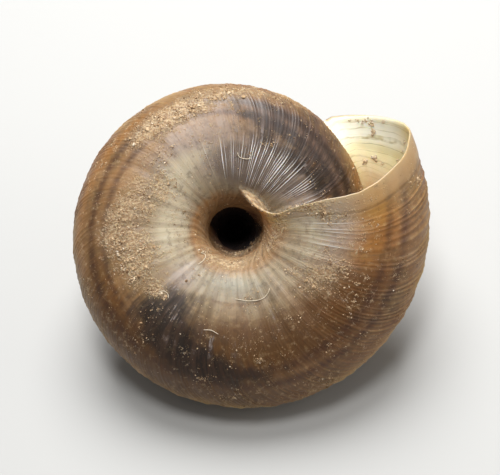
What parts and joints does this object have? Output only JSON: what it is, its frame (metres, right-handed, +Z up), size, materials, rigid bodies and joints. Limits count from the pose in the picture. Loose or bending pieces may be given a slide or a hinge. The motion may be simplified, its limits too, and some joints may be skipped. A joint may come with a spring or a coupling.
{
  "type": "land snail shell",
  "caption": "Low, right-handed coiled land snail shell with an open umbilicus and a thin, unturned lip, lying on its spire.",
  "frame": {"origin": "centre of the bounding box at the surface that the shell lies on", "axes": "+Z up; +X to the right as the umbilicus is seen with the lip at the right; +Y away from the viewer, the way the mouth opens"},
  "size_m": [0.0236, 0.0196, 0.0128],
  "materials": {
    "shell": "semi-gloss, finely ribbed, with dried soil"
  },
  "bodies": {
    "root": {"shell": "shell"}
  },
  "joints": []
}
